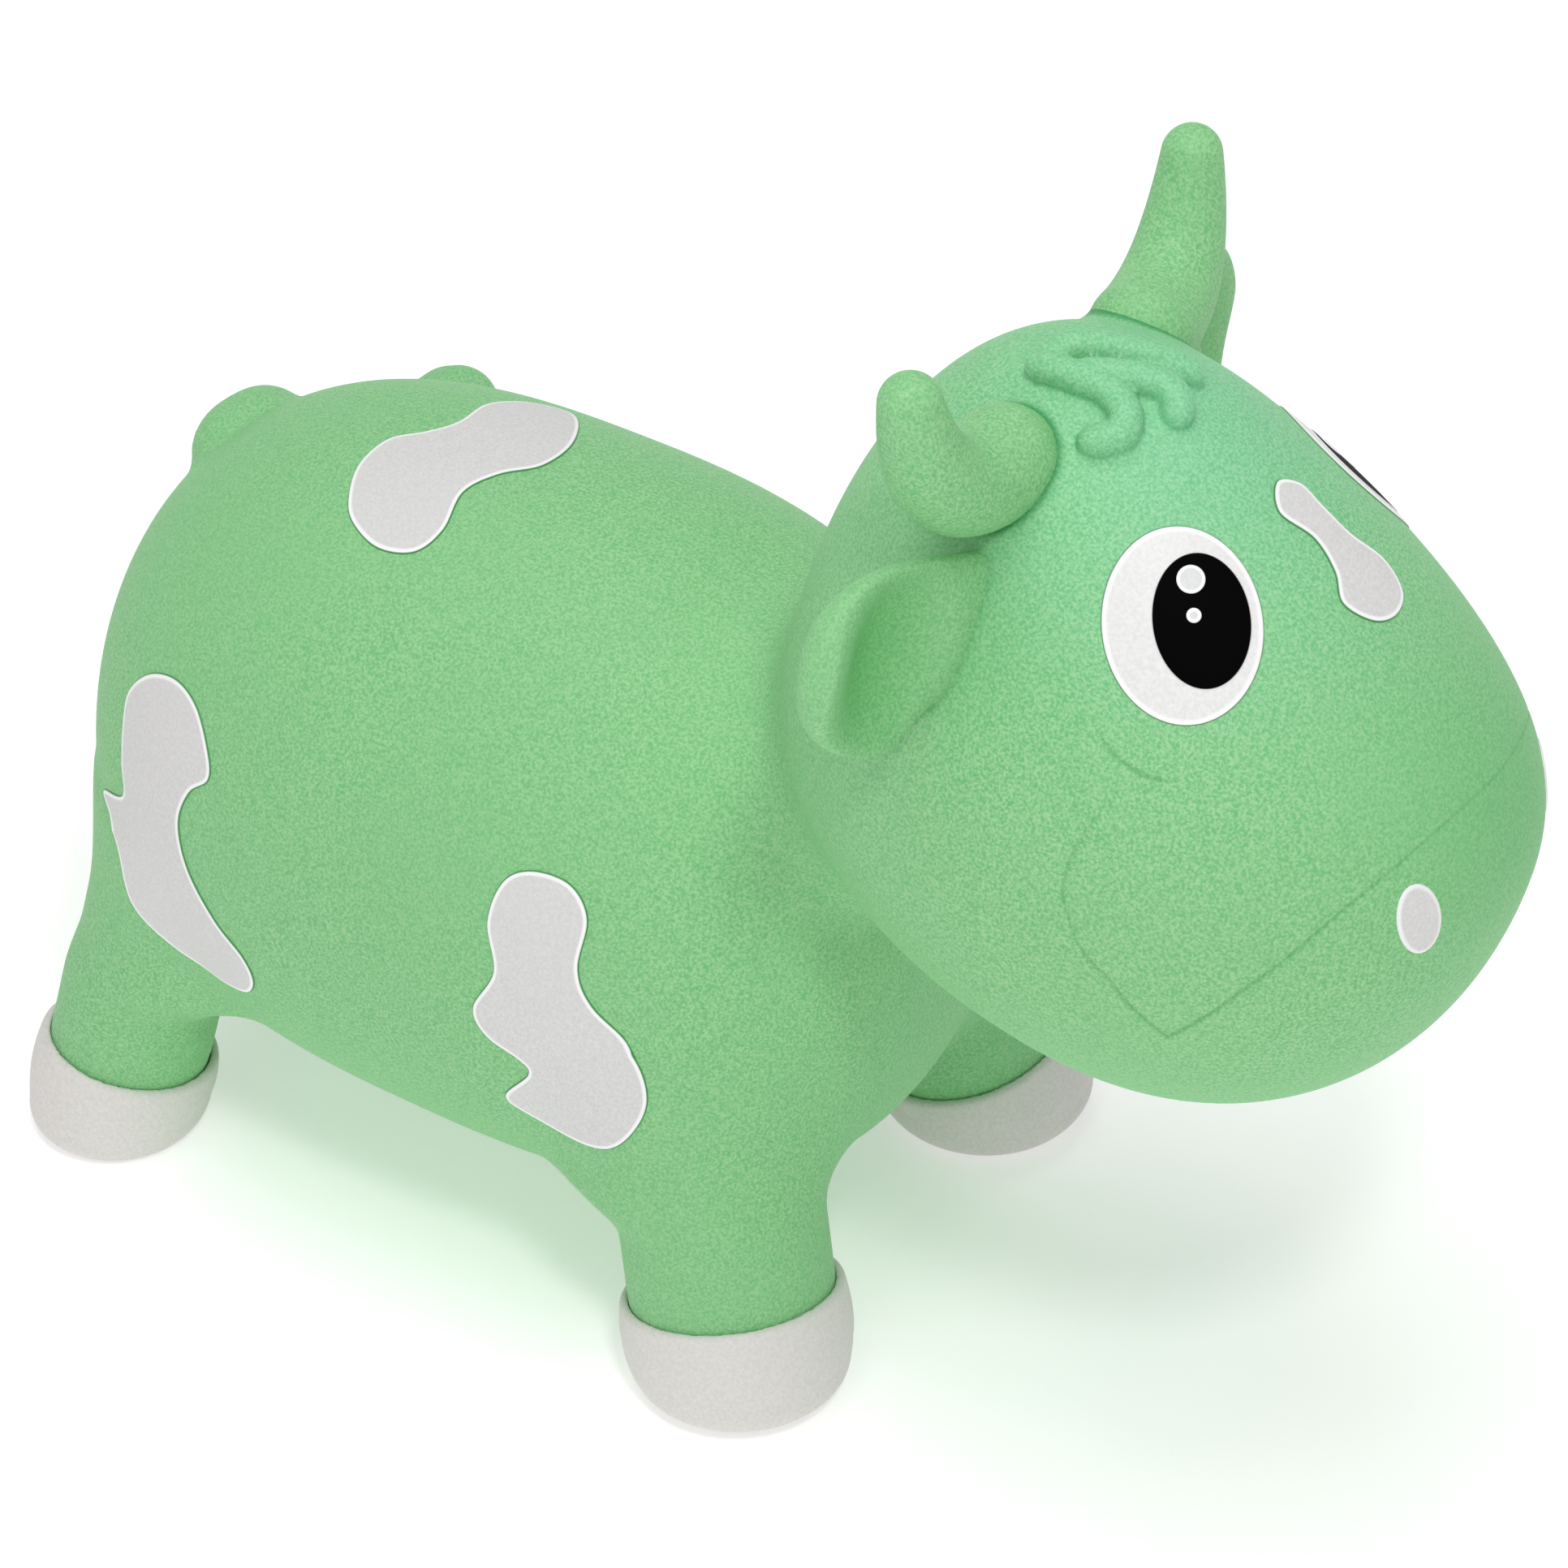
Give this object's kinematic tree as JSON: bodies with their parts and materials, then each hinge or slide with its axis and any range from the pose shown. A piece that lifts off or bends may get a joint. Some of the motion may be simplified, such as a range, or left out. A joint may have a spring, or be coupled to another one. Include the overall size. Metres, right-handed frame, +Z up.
{
  "type": "animal hopper",
  "caption": "Inflatable ride-on hopping cow with a barrel trunk, a big egg-shaped head, grip horns, scooped ears, painted patches and springy hooved legs.",
  "frame": {"origin": "on the floor, under the middle of the whole toy", "axes": "+X the way the cow faces, +Y to its left, +Z up"},
  "size_m": [0.5706, 0.2888, 0.4578],
  "materials": {
    "green_vinyl": "matte, fine moulded grain",
    "white_hoof": "matte paint on vinyl",
    "white_paint": "matte paint",
    "black_paint": "satin paint",
    "valve": "matte"
  },
  "bodies": {
    "moulding": {"trunk": "green_vinyl", "head": "green_vinyl", "right_lock": "green_vinyl", "middle_lock": "green_vinyl", "left_lock": "green_vinyl", "tail": "green_vinyl", "left_horn_root": "green_vinyl", "left_ear_root": "green_vinyl", "left_eye_white": "white_paint", "left_glints": "white_paint", "left_nostril": "white_paint", "left_rump_patch": "white_paint", "left_shoulder_patch": "white_paint", "left_pupil": "black_paint", "front_left_leg": "green_vinyl", "rear_left_leg": "green_vinyl", "right_horn_root": "green_vinyl", "right_ear_root": "green_vinyl", "right_eye_white": "white_paint", "right_glints": "white_paint", "right_nostril": "white_paint", "right_rump_patch": "white_paint", "right_shoulder_patch": "white_paint", "right_pupil": "black_paint", "front_right_leg": "green_vinyl", "rear_right_leg": "green_vinyl", "blaze": "white_paint", "saddle_patch": "white_paint", "valve_collar": "valve"},
    "front_left_hoof": {"front_left_hoof": "white_hoof"},
    "front_right_hoof": {"front_right_hoof": "white_hoof"},
    "rear_left_hoof": {"rear_left_hoof": "white_hoof"},
    "rear_right_hoof": {"rear_right_hoof": "white_hoof"},
    "left_horn": {"left_horn": "green_vinyl"},
    "right_horn": {"right_horn": "green_vinyl"},
    "left_ear": {"left_ear": "green_vinyl"},
    "right_ear": {"right_ear": "green_vinyl"},
    "valve_plug": {"valve_plug": "valve"}
  },
  "joints": [
    {"name": "front_left_squash", "type": "slide", "parent": "moulding", "child": "front_left_hoof", "axis": [-0.2464, -0.1766, 0.9529], "range_m": [0, 0.015], "stiffness_N_per_m": 4000, "springref_m": -0.002},
    {"name": "front_right_squash", "type": "slide", "parent": "moulding", "child": "front_right_hoof", "axis": [-0.2464, 0.1766, 0.9529], "range_m": [0, 0.015], "stiffness_N_per_m": 4000, "springref_m": -0.002},
    {"name": "rear_left_squash", "type": "slide", "parent": "moulding", "child": "rear_left_hoof", "axis": [0.1793, -0.1793, 0.9673], "range_m": [0, 0.015], "stiffness_N_per_m": 4000, "springref_m": -0.002},
    {"name": "rear_right_squash", "type": "slide", "parent": "moulding", "child": "rear_right_hoof", "axis": [0.1793, 0.1793, 0.9673], "range_m": [0, 0.015], "stiffness_N_per_m": 4000, "springref_m": -0.002},
    {"name": "left_horn_flex", "type": "hinge", "parent": "moulding", "child": "left_horn", "pos_m": [0.11244, 0.04631, 0.40379], "axis": [0, 1, 0], "range_deg": [-15, 15], "stiffness_Nm_per_rad": 0.6},
    {"name": "right_horn_flex", "type": "hinge", "parent": "moulding", "child": "right_horn", "pos_m": [0.11244, -0.04631, 0.40379], "axis": [0, 1, 0], "range_deg": [-15, 15], "stiffness_Nm_per_rad": 0.6},
    {"name": "left_ear_flap", "type": "hinge", "parent": "moulding", "child": "left_ear", "pos_m": [0.1129, 0.08301, 0.35336], "axis": [0.0385, -0.3049, 0.9516], "range_deg": [-12, 12], "stiffness_Nm_per_rad": 0.3},
    {"name": "right_ear_flap", "type": "hinge", "parent": "moulding", "child": "right_ear", "pos_m": [0.1129, -0.08301, 0.35336], "axis": [0.0238, 0.2989, 0.954], "range_deg": [-12, 12], "stiffness_Nm_per_rad": 0.3},
    {"name": "plug_pull", "type": "slide", "parent": "moulding", "child": "valve_plug", "axis": [0, 0, -1], "range_m": [0, 0.018]}
  ]
}
